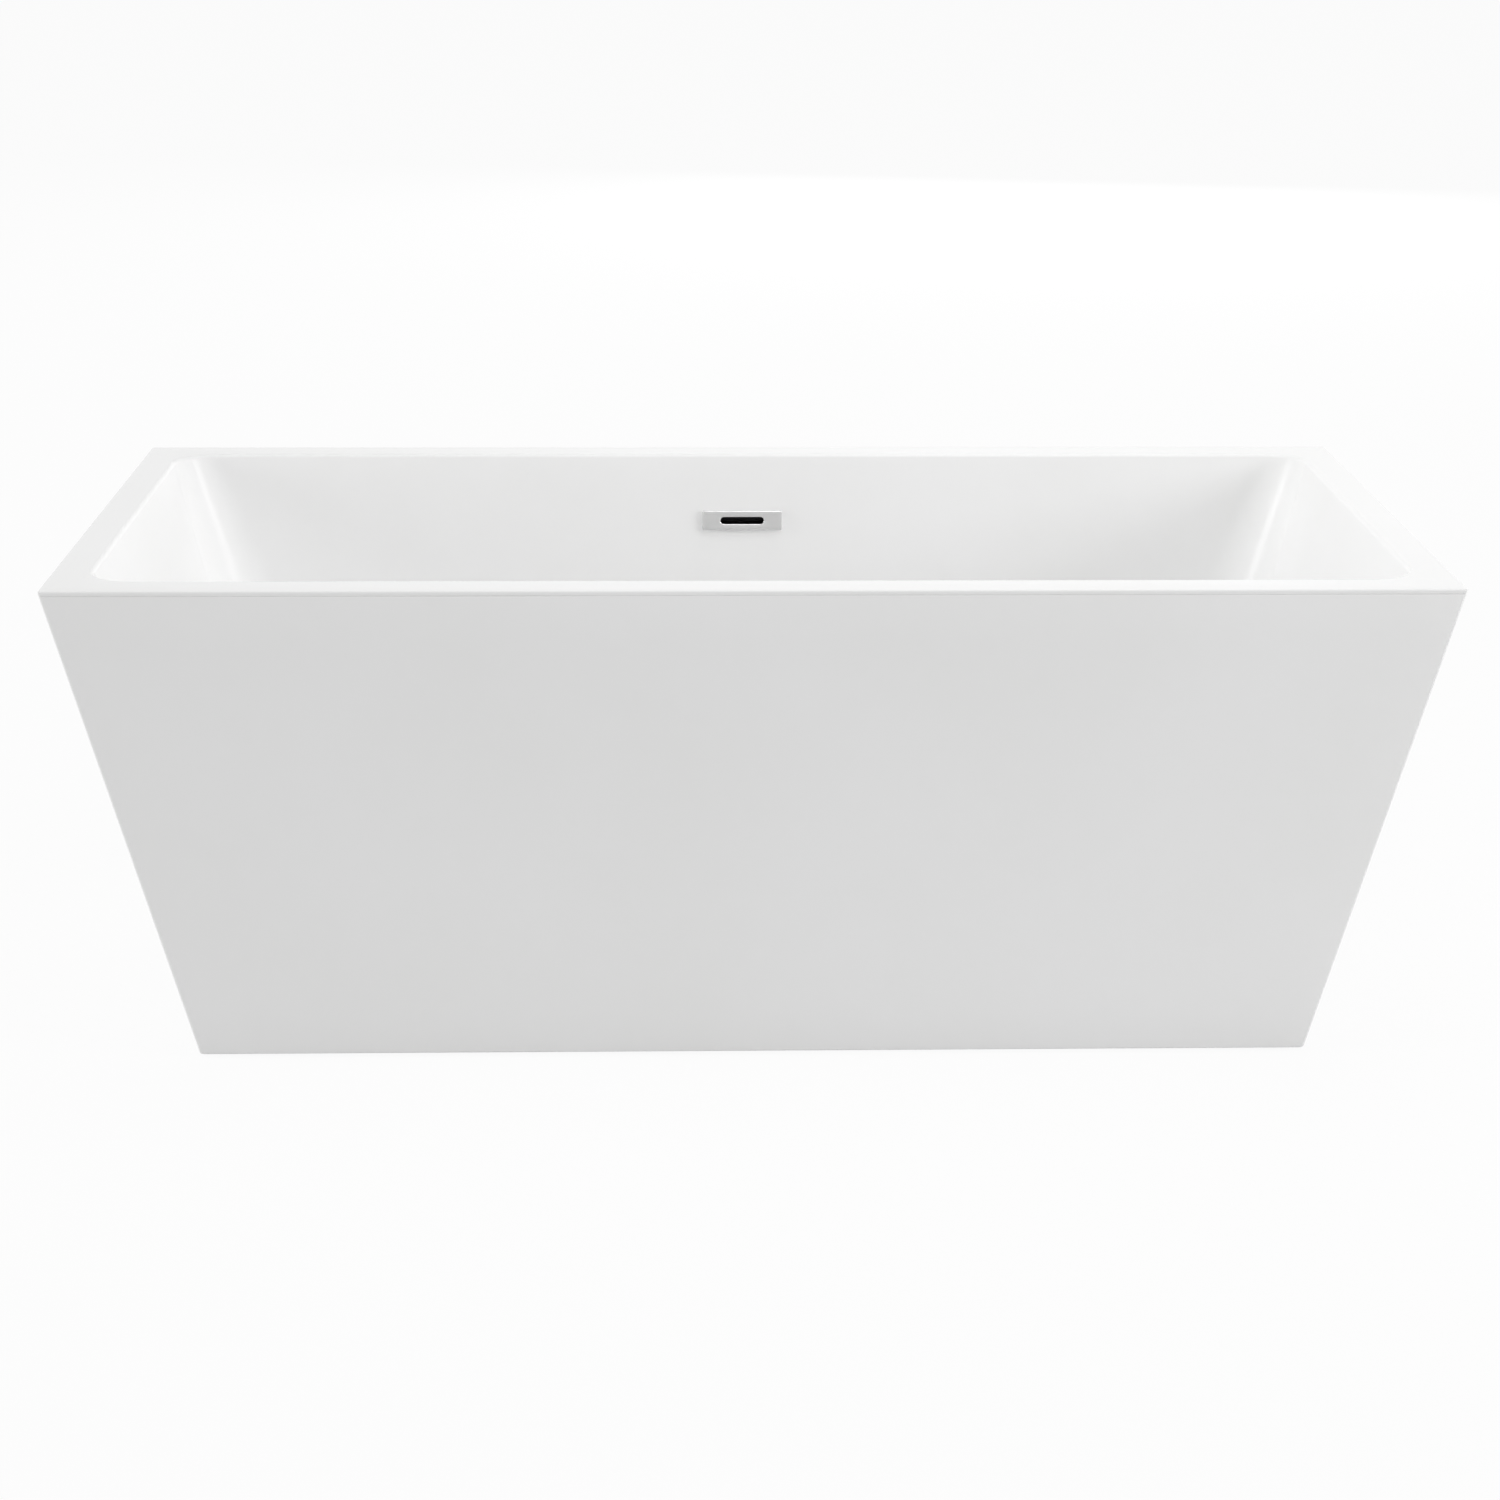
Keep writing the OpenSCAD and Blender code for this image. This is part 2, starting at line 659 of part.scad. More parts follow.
module slip_nuts() {
    base = 3;
    grip = 10;
    color(PVC) at_sockets() difference() {
        translate([0, 0, -slip_washer_t - base])
            cylinder(r = slip_nut_r, h = base + slip_washer_t + grip);
        translate([0, 0, -slip_washer_t]) cylinder(r = socket_r, h = slip_washer_t + grip + over);
        translate([0, 0, -slip_washer_t - base - over]) cylinder(r = pipe_r, h = base + 2 * over);
    }
}

module slip_washers() {
    color(RUBBER) at_sockets() translate([0, 0, -slip_washer_t])
        ring(pipe_r, socket_r, slip_washer_t);
}

// ---- Waste ----------------------------------------------------------------------------------

module waste_flange() {
    seat_r = waste_r + 2.3;
    color(CHROME) translate([0, waste_y, 0]) {
        difference() {
            union() {
                translate([0, 0, waste_z - flange_t]) cylinder(d = flange_d, h = flange_t);
                translate([0, 0, thread_end])
                    cylinder(r = thread_r, h = waste_z - thread_end - flange_t / 2);
            }
            translate([0, 0, thread_end - over]) cylinder(r = waste_r, h = waste_z);
            translate([0, 0, waste_z - flange_t]) cylinder(r = seat_r, h = flange_t + over);
        }
        difference() {
            intersection() {
                union() {
                    for (turn = [0, 90]) rotate([0, 0, turn])
                        translate([-waste_r - 1, -1.5, hub_z]) cube([2 * waste_r + 2, 3, hub_h]);
                    translate([0, 0, hub_z]) cylinder(r = hub_r, h = hub_h);
                }
                translate([0, 0, hub_z]) cylinder(r = waste_r + 0.5, h = hub_h);
            }
            translate([0, 0, hub_z - over]) cylinder(r = cartridge_r, h = hub_h + 2 * over);
        }
    }
}

module waste_gasket() {
    color(RUBBER) translate([0, waste_y, waste_gasket_z])
        ring(thread_r, thread_r + 14, waste_gasket_t);
}

module waste_washer() {
    color(PVC) translate([0, waste_y, waste_washer_z])
        ring(thread_r, thread_r + 13, waste_washer_t);
}

module waste_locknut() {
    color(CHROME) translate([0, waste_y, waste_nut_z])
        hex_nut(thread_d + 14, thread_r, locknut_h);
}

module waste_tee() {
    shoulder = 6;
    color(PVC) difference() {
        union() {
            translate([0, waste_y, thread_end - shoulder])
                cylinder(r = thread_r + tee_wall, h = tee_top - thread_end + shoulder);
            translate([0, waste_y, tee_foot]) cylinder(r = thread_r, h = thread_end - tee_foot);
            translate([0, waste_y, branch_z]) rotate([-90, 0, 0])
                cylinder(r = socket_r, h = branch_socket_y - waste_y);
        }
        translate([0, waste_y, thread_end]) cylinder(r = thread_r, h = tee_top);
        translate([0, waste_y, tee_foot - over]) cylinder(r = waste_r, h = tee_top);
        translate([0, waste_y, branch_z]) rotate([-90, 0, 0])
            cylinder(r = pipe_r - pipe_wall, h = branch_socket_y - waste_y + over);
        translate([0, branch_socket_y - socket_depth, branch_z]) rotate([-90, 0, 0])
            cylinder(r = pipe_r, h = socket_depth + over);
    }
}

module outlet_tailpiece() {
    bore_r = outlet_r - outlet_wall;
    neck_r = outlet_r - neck_step;
    neck_z = union_foot - neck_below_nut;
    top = tail_flange_z + tail_flange_t;
    color(PVC) translate([0, waste_y, 0]) rotate_extrude()
        polygon([[bore_r, outlet_h], [outlet_r, outlet_h], [outlet_r, neck_z], [neck_r, neck_z],
                 [neck_r, tail_flange_z], [tail_flange_r, tail_flange_z],
                 [tail_flange_r, top], [bore_r, top]]);
}

module union_washer() {
    color(RUBBER) translate([0, waste_y, tee_foot - union_washer_t])
        ring(outlet_r - outlet_wall, tail_flange_r, union_washer_t);
}

module union_nut() {
    color(PVC) translate([0, waste_y, union_foot]) difference() {
        cylinder(r = thread_r + 5, h = union_top - union_foot);
        translate([0, 0, union_base_t]) cylinder(r = thread_r, h = union_top - union_foot);
        translate([0, 0, -over]) cylinder(r = outlet_r + 0.5, h = union_base_t + 2 * over);
    }
}

// ---- Stopper, drawn closed ------------------------------------------------------------------

module stopper_cap() {
    cap_r = cap_d / 2;
    color(CHROME) translate([0, waste_y, cap_z]) rotate_extrude()
        polygon([[0, 0], [cap_r - 1, 0], [cap_r, 1], [cap_r, 2.5], [cap_r - 2, 3.6],
                 [cap_r / 2, 4.6], [0, 5]]);
}

module stopper_seal() {
    seat_z = waste_z - flange_t;
    color(RUBBER) translate([0, waste_y, seat_z + seal_gap])
        ring(stem_r, waste_r + 2, cap_z - seat_z - seal_gap);
}

module stopper_stem() {
    color(STEEL) translate([0, waste_y, stem_foot])
        cylinder(r = stem_r, h = cap_z - stem_foot);
}

module stopper_cartridge() {
    color(STEEL) translate([0, waste_y, 0]) difference() {
        union() {
            translate([0, 0, spring_foot - cartridge_lip])
                cylinder(r = cartridge_r, h = hub_z + hub_h - spring_foot + cartridge_lip);
            translate([0, 0, hub_z + hub_h]) cylinder(r = hub_r, h = cartridge_lip);
        }
        translate([0, 0, spring_foot]) cylinder(r = stem_r + slip, h = hub_z + hub_h);
    }
}

// Coil spring under the stem: a round wire swept along a helix
module stopper_spring() {
    wire_r = 0.5;
    coil_r = stem_r - wire_r - 0.2;
    turns = 4;
    steps = 10;
    sides = 6;
    height = stem_foot - spring_foot - 2 * wire_r;
    count = turns * steps;
    rings = [for (i = [0:count], k = [0:sides - 1])
        let (turn = 360 * i / steps, side = 360 * k / sides,
             r = coil_r + wire_r * cos(side))
        [r * cos(turn), r * sin(turn), wire_r + height * i / count - wire_r * sin(side)]];
    color(STEEL) translate([0, waste_y, spring_foot])
        polyhedron(rings, concat(
            skin(count + 1, sides),
            [[for (k = [sides - 1:-1:0]) k]],
            [[for (k = [0:sides - 1]) count * sides + k]]));
}

// ---- Nodes ----------------------------------------------------------------------------------

basin();
skirt();
base_board();
batten_side(-1);  // rim_batten_front
batten_side(1);  // rim_batten_back
batten_end(-1);  // rim_batten_left
batten_end(1);  // rim_batten_right
frame_rail(-1);  // frame_rail_front
frame_rail(1);  // frame_rail_back
frame_rail_center();
frame_cross(-1);  // frame_cross_left
frame_cross(1);  // frame_cross_right
tube_caps();
board_screws();
skirt_brackets();
bracket_screws();
overflow_cover();
overflow_plate();
overflow_screws();
overflow_gasket();
overflow_housing();
overflow_tube();
overflow_elbow();
overflow_branch();
slip_nuts();
slip_washers();
waste_flange();
waste_gasket();
waste_washer();
waste_locknut();
waste_tee();
outlet_tailpiece();
union_nut();
union_washer();
stopper_cap();
stopper_seal();
stopper_stem();
stopper_cartridge();
stopper_spring();
for (f = FEET) {
    foot_rod(f[1]);
    foot_pad(f[1]);
    foot_nuts(f[1]);
}
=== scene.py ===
# Looks of the freestanding bathtub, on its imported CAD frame.
# Metres. X runs along the tub, the back wall is at +Y, Z is up, and the origin is on the floor.
import json
import math

import bmesh
import bpy
from mathutils import Matrix, Vector

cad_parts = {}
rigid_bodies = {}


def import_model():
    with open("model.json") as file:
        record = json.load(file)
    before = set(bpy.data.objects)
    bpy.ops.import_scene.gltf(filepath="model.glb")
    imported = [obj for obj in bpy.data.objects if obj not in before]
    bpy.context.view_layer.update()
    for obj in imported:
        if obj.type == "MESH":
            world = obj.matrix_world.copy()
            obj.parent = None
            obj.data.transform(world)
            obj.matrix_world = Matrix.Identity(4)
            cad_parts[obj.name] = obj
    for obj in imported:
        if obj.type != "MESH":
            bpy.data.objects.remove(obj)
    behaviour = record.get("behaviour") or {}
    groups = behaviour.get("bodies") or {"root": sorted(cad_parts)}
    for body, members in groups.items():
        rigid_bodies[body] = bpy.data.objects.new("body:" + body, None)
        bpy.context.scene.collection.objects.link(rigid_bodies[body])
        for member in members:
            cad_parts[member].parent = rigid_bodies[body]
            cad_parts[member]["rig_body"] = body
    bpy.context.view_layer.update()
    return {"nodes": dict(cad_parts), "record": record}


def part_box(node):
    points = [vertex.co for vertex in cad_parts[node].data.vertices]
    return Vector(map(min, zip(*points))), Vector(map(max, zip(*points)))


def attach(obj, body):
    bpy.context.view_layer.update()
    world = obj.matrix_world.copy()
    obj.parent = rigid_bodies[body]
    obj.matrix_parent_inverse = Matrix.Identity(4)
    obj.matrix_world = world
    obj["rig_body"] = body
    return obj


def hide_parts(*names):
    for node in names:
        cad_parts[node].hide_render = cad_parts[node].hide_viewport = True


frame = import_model()
bpy.context.scene.view_settings.view_transform = "Standard"
NODES = frame["nodes"]
SLOTS = {part["node"]: part["material_slot"] for part in frame["record"]["subparts"]}
MM = 0.001
TAU = 2 * math.pi

# ---- Driving dimensions: the CAD model's own, apart from the outside roundings ---------------

HALF_L, HALF_W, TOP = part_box("basin")[1]
SKIRT_FOOT, SKIRT_TOP = (corner.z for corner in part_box("skirt"))
END_LEAN = math.radians(15)
SIDE_LEAN = math.radians(4)
RIM_END = 48 * MM
RIM_SIDE = 50 * MM
SHELL = 6 * MM                 # thickness of the basin
FLOOR = 150 * MM               # height of the bath's floor at its edge
FALL = 3 * MM                  # how far the floor falls to the waste
END_SWEEP = 90 * MM
SIDE_SWEEP = 60 * MM
CORNER_TOP = 55 * MM
CORNER_FOOT = 110 * MM
LIP = 5 * MM                   # rounding of the rim's inner edge
SKIRT_T = 5 * MM
SKIRT_LIP = 30 * MM
OUTER_EDGE = 2.5 * MM          # rounding of the tub's outside edges
OUTER_CORNER = 1.4 * OUTER_EDGE    # corner radius of the tub's outside, seen from above
SEAM_EDGE = 0.9 * MM           # rounding on each side of the seam under the rim

WELL_A = HALF_L - RIM_END      # half length and half width of the well at the rim
WELL_B = HALF_W - RIM_SIDE
UNDER = FLOOR - FALL - SHELL   # underside of the bath's floor at the waste
FLANGE_LOW, FLANGE_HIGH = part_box("waste_flange")
FLANGE_R = (FLANGE_HIGH.x - FLANGE_LOW.x) / 2
WASTE = Vector(((FLANGE_LOW.x + FLANGE_HIGH.x) / 2, (FLANGE_LOW.y + FLANGE_HIGH.y) / 2,
                FLOOR - FALL))


# ---- Shape of the bowl -----------------------------------------------------------------------

def sweep_top(lean, sweep, floor):
    """Height at which a wall with this lean runs into its sweep to the floor."""
    return floor + sweep * (1 - math.sin(lean))


def fold(z, lean, sweep, floor):
    """How much of a wall's inset at height z belongs to its sweep to the floor."""
    if z >= sweep_top(lean, sweep, floor):
        return 0.0
    rise = 1 - (z - floor) / sweep
    return sweep * (math.cos(lean) - math.sqrt(max(0.0, 1 - rise * rise)))


def wall_inset(z, lean, sweep, floor):
    """Inset of a wall at height z from where it stands at the rim."""
    straight = TOP - max(z, sweep_top(lean, sweep, floor))
    return straight * math.tan(lean) + fold(z, lean, sweep, floor)


def bowl_size(z, grow):
    """Half length, half width and corner radius of the bowl at height z. grow is 0 on the bathing
    side, and the shell's thickness on the back, which is level with the lowest point of the floor.
    """
    drop = grow + FALL if grow else 0.0
    floor = FLOOR - drop
    a = WELL_A + grow / math.cos(END_LEAN) - wall_inset(z, END_LEAN, END_SWEEP + drop, floor)
    b = WELL_B + grow / math.cos(SIDE_LEAN) - wall_inset(z, SIDE_LEAN, SIDE_SWEEP + drop, floor)
    depth = (TOP - max(z, FLOOR)) / (TOP - FLOOR)
    r = CORNER_TOP + (CORNER_FOOT - CORNER_TOP) * depth + grow
    r -= fold(z, SIDE_LEAN, SIDE_SWEEP + drop, floor)
    up = 0.0 if grow else max(0.0, z - (TOP - LIP))
    flare = LIP - math.sqrt(max(0.0, LIP * LIP - up * up))
    return a + flare, b + flare, r + flare


def wall_y(z):
    """Inner face of the back wall at height z."""
    return WELL_B - (TOP - z) * math.tan(SIDE_LEAN)


def outline_half(z):
    """Half length of the tub's outside at height z."""
    return HALF_L - (TOP - z) * math.tan(END_LEAN)


# ---- Mesh helpers ----------------------------------------------------------------------------

def ease(steps, first=0.0, last=1.0):
    """Numbers from first to last, close together near the first."""
    return [first + (last - first) * (1 - math.cos(math.pi / 2 * i / steps))
            for i in range(steps + 1)]


def even(steps, first=0.0, last=1.0):
    """Numbers from first to last, all as far apart."""
    return [first + (last - first) * i / steps for i in range(steps + 1)]


def box_ring(a, b, r, z, counts=(6, 16, 14)):
    """Rounded rectangle of half sizes a and b and corner radius r at height z, anticlockwise from
    +X. counts holds the steps of a quarter's short side, corner and long side."""
    short, arc, long = counts
    quarter = [(a, (b - r) * i / short) for i in range(short)]
    for turn in even(arc, 0, math.pi / 2)[:-1]:
        quarter.append((a - r + r * math.cos(turn), b - r + r * math.sin(turn)))
    quarter += [((a - r) * (1 - i / long), b) for i in range(long)]
    second = [(0.0, b)] + [(-x, y) for x, y in reversed(quarter[1:])]
    half = quarter + second
    return [Vector((x, y, z)) for x, y in half] + [Vector((-x, -y, z)) for x, y in half]


def circle_ring(centre, radius, z, like=None, steps=48):
    """Circle round a vertical axis. With like, each point lies towards that ring's point."""
    if like is None:
        return [Vector((centre.x + radius * math.cos(TAU * i / steps),
                        centre.y + radius * math.sin(TAU * i / steps), z)) for i in range(steps)]
    ring = []
    for p in like:
        out = Vector((p.x - centre.x, p.y - centre.y)).normalized() * radius
        ring.append(Vector((centre.x + out.x, centre.y + out.y, z)))
    return ring


def between(ring, other, steps):
    """Rings that lead from one ring to another in straight lines, without those two."""
    return [[p.lerp(q, i / steps) for p, q in zip(ring, other)] for i in range(1, steps)]


def link(name, mesh, place=None):
    """New object with this mesh, at the origin or at a place given as a matrix."""
    obj = bpy.data.objects.new(name, mesh)
    bpy.context.scene.collection.objects.link(obj)
    if place is not None:
        obj.matrix_world = place
    return obj


SHARP = 32                     # an edge is drawn sharp from this many degrees


def finish_mesh(mesh, sharp=SHARP):
    """Turns the faces outwards and shades them smooth, apart from edges sharper than the angle."""
    bm = bmesh.new()
    bm.from_mesh(mesh)
    bmesh.ops.recalc_face_normals(bm, faces=bm.faces)
    bm.to_mesh(mesh)
    bm.free()
    mesh.shade_smooth()
    mesh.set_sharp_from_angle(angle=math.radians(sharp))


def loft(rings, bands=None, ends="loop", sharp=SHARP):
    """Mesh through rings with as many points each. bands holds a material index for each step.
    ends is loop, where the last ring meets the first, or caps."""
    n = len(rings[0])
    verts = [p for ring in rings for p in ring]
    steps = len(rings) if ends == "loop" else len(rings) - 1
    faces, index = [], []
    for i in range(steps):
        k = (i + 1) % len(rings)
        for j in range(n):
            m = (j + 1) % n
            faces.append((i * n + j, i * n + m, k * n + m, k * n + j))
            index.append(bands[i] if bands else 0)
    if ends == "caps":
        faces.append(tuple(range(n)))
        faces.append(tuple((len(rings) - 1) * n + j for j in range(n)))
        index += [0, 0]
    mesh = bpy.data.meshes.new("loft")
    mesh.from_pydata(verts, [], faces)
    mesh.polygons.foreach_set("material_index", index)
    finish_mesh(mesh, sharp)
    return mesh


def lathe(profile, steps=48, centre=Vector((0, 0, 0)), wave=None, ends="loop", sharp=SHARP):
    """Turned mesh. profile is (radius, height) pairs in millimetres, over centre, and
    wave(angle, i) scales the radius of pair i."""
    rings = []
    for i, (r, z) in enumerate(profile):
        ring = []
        for j in range(steps):
            turn = TAU * j / steps
            reach = r * MM * (wave(turn, i) if wave else 1.0)
            ring.append(Vector((centre.x + reach * math.cos(turn),
                                centre.y + reach * math.sin(turn), centre.z + z * MM)))
        rings.append(ring)
    return loft(rings, ends=ends, sharp=sharp)


def join_meshes(meshes):
    """One mesh out of several."""
    bm = bmesh.new()
    for mesh in meshes:
        bm.from_mesh(mesh)
        bpy.data.meshes.remove(mesh)
    out = bpy.data.meshes.new("joined")
    bm.to_mesh(out)
    bm.free()
    return out


def cut_out(obj, cutter):
    """Takes the cutter's shape out of obj and drops the cutter."""
    step = obj.modifiers.new("cut", "BOOLEAN")
    step.operation = "DIFFERENCE"
    step.solver = "EXACT"
    step.object = cutter
    bpy.context.view_layer.update()
    graph = bpy.context.evaluated_depsgraph_get()
    made = bpy.data.meshes.new_from_object(obj.evaluated_get(graph))
    obj.modifiers.clear()
    obj.data = made
    bpy.data.objects.remove(cutter)
    made.set_sharp_from_angle(angle=math.radians(SHARP))


def stand_for(obj, materials, slot, *nodes):
    """obj shows in place of these CAD nodes, moves with their body and carries the materials."""
    obj.data.materials.clear()
    for m in materials:
        obj.data.materials.append(m)
    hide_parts(*nodes)
    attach(obj, NODES[nodes[0]]["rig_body"])


# ---- Materials -------------------------------------------------------------------------------

BUMP_DEPTH = 0.5 * MM


def material(name, color, other, rough, metallic=0.0, scale=20.0, stretch=(1, 1, 1), detail=4.0,
             bump=0.0, bump_scale=200.0, contrast=(0.35, 0.65), **shader):
    """Principled material whose colour wanders between two, and its roughness with it. A bump of
    more than 0 adds fine grain, and shader holds other sockets, such as IOR."""
    mat = bpy.data.materials.new(name)
    mat.use_nodes = True
    tree = mat.node_tree
    add = tree.nodes.new
    join = tree.links.new
    principled = tree.nodes["Principled BSDF"]
    principled.inputs["Metallic"].default_value = metallic
    for key, value in shader.items():
        principled.inputs[key.replace("_", " ")].default_value = value
    where = add("ShaderNodeTexCoord")
    lay = add("ShaderNodeMapping")
    lay.inputs["Scale"].default_value = stretch
    join(where.outputs["Object"], lay.inputs["Vector"])
    noise = add("ShaderNodeTexNoise")
    noise.inputs["Scale"].default_value = scale
    noise.inputs["Detail"].default_value = detail
    join(lay.outputs["Vector"], noise.inputs["Vector"])
    ramp = add("ShaderNodeValToRGB")
    ramp.color_ramp.elements[0].position = contrast[0]
    ramp.color_ramp.elements[1].position = contrast[1]
    ramp.color_ramp.elements[0].color = (*color, 1)
    ramp.color_ramp.elements[1].color = (*other, 1)
    join(noise.outputs["Fac"], ramp.inputs["Fac"])
    join(ramp.outputs["Color"], principled.inputs["Base Color"])
    spread = add("ShaderNodeMapRange")
    spread.inputs["To Min"].default_value = rough[0]
    spread.inputs["To Max"].default_value = rough[1]
    join(noise.outputs["Fac"], spread.inputs["Value"])
    join(spread.outputs["Result"], principled.inputs["Roughness"])
    if bump:
        fine = add("ShaderNodeTexNoise")
        fine.inputs["Scale"].default_value = bump_scale
        fine.inputs["Detail"].default_value = 3.0
        join(lay.outputs["Vector"], fine.inputs["Vector"])
        raise_it = add("ShaderNodeBump")
        raise_it.inputs["Strength"].default_value = bump
        raise_it.inputs["Distance"].default_value = BUMP_DEPTH
        join(fine.outputs["Fac"], raise_it.inputs["Height"])
        join(raise_it.outputs["Normal"], principled.inputs["Normal"])
    return mat


def grey(value):
    return (value, value, value)


acrylic = material("acrylic", (0.925, 0.925, 0.921), grey(0.940), (0.16, 0.22), scale=3,
                   bump=0.02, bump_scale=25, Specular_IOR_Level=0.2, IOR=1.35)
fibreglass = material("fibreglass", (0.62, 0.61, 0.52), (0.78, 0.77, 0.70), (0.35, 0.65),
                      scale=90, detail=8, bump=0.9, bump_scale=140)
chrome = material("chrome", grey(0.72), grey(0.76), (0.14, 0.20), metallic=1.0, scale=12)
polished = material("polished_chrome", grey(0.78), grey(0.82), (0.05, 0.09), metallic=1.0, scale=12)
galvanised = material("galvanised_steel", grey(0.42), grey(0.62), (0.35, 0.55), metallic=0.9,
                      scale=120, detail=6, bump=0.1, bump_scale=300)
zinc = material("zinc_steel", (0.60, 0.60, 0.56), (0.70, 0.70, 0.68), (0.25, 0.40), metallic=1.0,
                scale=150)
brass = material("brass", (0.62, 0.44, 0.16), (0.72, 0.53, 0.22), (0.22, 0.36), metallic=1.0,
                 scale=90)
chipboard = material("chipboard", (0.30, 0.19, 0.09), (0.62, 0.46, 0.27), (0.6, 0.8), scale=260,
                     detail=3, bump=0.5, bump_scale=320, contrast=(0.3, 0.7))
softwood_x, softwood_y = (
    material(name, (0.50, 0.33, 0.16), (0.68, 0.50, 0.28), (0.5, 0.7), scale=60,
             stretch=stretch, bump=0.3, bump_scale=120)
    for name, stretch in (("softwood_along", (0.05, 1, 1)), ("softwood_across", (1, 0.05, 1))))
rubber = material("rubber", grey(0.018), grey(0.030), (0.55, 0.75), scale=80, bump=0.3,
                  bump_scale=500)
nylon = material("black_plastic", grey(0.020), grey(0.028), (0.40, 0.55), scale=60, bump=0.2,
                 bump_scale=700)
pvc = material("white_pvc", (0.70, 0.70, 0.67), (0.75, 0.75, 0.73), (0.35, 0.45), scale=30,
               bump=0.1, bump_scale=400)
FINISH = {"galvanised_steel": galvanised, "zinc_steel": zinc, "brass": brass, "board": chipboard,
          "timber": softwood_x, "rubber": rubber, "black_plastic": nylon, "white_pvc": pvc,
          "chrome": polished}


# ---- Shells ----------------------------------------------------------------------------------

def basin():
    """The acrylic shell: bathing side, rim, and the fibreglass on its back."""
    mid = max(sweep_top(END_LEAN, END_SWEEP, FLOOR), sweep_top(SIDE_LEAN, SIDE_SWEEP, FLOOR))
    levels = ease(26, FLOOR, mid) + even(10, mid, TOP - LIP)[1:]
    levels += [TOP - LIP + LIP * math.sin(t) for t in even(7, 0, math.pi / 2)[1:]]
    wall = [box_ring(*bowl_size(z, 0), z) for z in levels]
    foot = wall[0]

    # The hole for the waste, and the recess with a soft edge that its flange lies in
    seat_w = 10 * MM
    recess_gap = 0.2 * MM
    recess_deep = 3 * MM
    edge = 0.6 * MM
    hole_r = FLANGE_R - seat_w
    recess_r = FLANGE_R + recess_gap
    recess_z = WASTE.z - recess_deep
    drain = [circle_ring(WASTE, hole_r, UNDER, foot), circle_ring(WASTE, hole_r, recess_z, foot),
             circle_ring(WASTE, recess_r, recess_z, foot)]
    for t in even(3, 0, math.pi / 2):
        drain.append(circle_ring(WASTE, recess_r + edge * (1 - math.cos(t)),
                                 WASTE.z - edge + edge * math.sin(t), foot))
    floor = between(drain[-1], foot, 14)

    # The rim's rounded outer edge, and the seam under it
    rim = []
    for t in even(6, 0, math.pi / 2):
        inset = OUTER_EDGE * (1 - math.sin(t))
        z = TOP - OUTER_EDGE * (1 - math.cos(t))
        rim.append(box_ring(outline_half(z) - inset, HALF_W - inset, OUTER_CORNER - inset, z))
    side_foot = SKIRT_TOP + SEAM_EDGE
    for t in even(3, 0, math.pi / 2):
        z = side_foot - SEAM_EDGE * math.sin(t)
        inset = SEAM_EDGE * (1 - math.cos(t))
        rim.append(box_ring(outline_half(z) - inset, HALF_W - inset, OUTER_CORNER - inset, z))

    # The back of the shell, down to the hole
    back_mid = sweep_top(SIDE_LEAN, SIDE_SWEEP + FALL + SHELL, UNDER)
    back_levels = even(8, SKIRT_TOP, back_mid) + ease(20, UNDER, back_mid)[-2::-1]
    back = [box_ring(*bowl_size(z, SHELL), z) for z in back_levels]
    under = between(back[-1], drain[0], 10)

    rings = drain + floor + wall + rim + back + under
    shown = len(drain) + len(floor) + len(wall) + len(rim) - 2
    bands = [0 if i < shown else 1 for i in range(len(rings))]
    bands[0] = 1
    return link("tub_basin", loft(rings, bands))


def skirt():
    """The outer acrylic shell, with its turned-in foot."""
    foot_edge = 3 * MM         # rounding of the bottom edge
    lip_chamfer = 1 * MM
    lip_fillet = 4 * MM        # between the turned-in lip and the wall
    lip_in = SKIRT_T + SKIRT_LIP
    lip_z = SKIRT_FOOT + SKIRT_T
    rings, bands = [], []

    def put(inset, z, band=0):
        lean_inset = inset / math.cos(END_LEAN)
        rings.append(box_ring(outline_half(z) - lean_inset, HALF_W - inset, OUTER_CORNER, z,
                              counts=(6, 8, 14)))
        bands.append(band)

    for t in even(3, 0, math.pi / 2):
        put(SEAM_EDGE * (1 - math.sin(t)), SKIRT_TOP - SEAM_EDGE * (1 - math.cos(t)))
    for z in even(10, SKIRT_TOP - SEAM_EDGE, SKIRT_FOOT + foot_edge)[1:-1]:
        put(0, z)
    for t in even(5, 0, math.pi / 2):
        put(foot_edge * (1 - math.cos(t)), SKIRT_FOOT + foot_edge * (1 - math.sin(t)))
    put(lip_in - lip_chamfer, SKIRT_FOOT, 1)
    put(lip_in, SKIRT_FOOT + lip_chamfer, 1)
    put(lip_in, lip_z, 1)
    for t in even(4, 0, math.pi / 2):
        put(SKIRT_T + lip_fillet * (1 - math.sin(t)), lip_z + lip_fillet * (1 - math.cos(t)), 1)
    for z in even(10, lip_z + lip_fillet, SKIRT_TOP)[1:]:
        put(SKIRT_T, z, 1)
    bands[-1] = 0
    return link("tub_skirt", loft(rings, bands))


# ---- Overflow --------------------------------------------------------------------------------

OVERFLOW_DROP = 95 * MM        # from the rim down to the overflow's middle
OVERFLOW_Z = TOP - OVERFLOW_DROP
BACK_WALL = (Matrix.Translation((0, wall_y(OVERFLOW_Z), OVERFLOW_Z))
             @ Matrix.Rotation(math.pi / 2 - SIDE_LEAN, 4, "X"))
COVER_LOW, COVER_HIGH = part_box("overflow_cover")
COVER_L = COVER_HIGH.x - COVER_LOW.x
COVER_H = 28 * MM
COVER_T = 6 * MM
SLOT_L = 62 * MM
SLOT_H = 10 * MM
NOT_QUITE = 0.02 * MM          # keeps a sliver of straight side between a slot's round ends


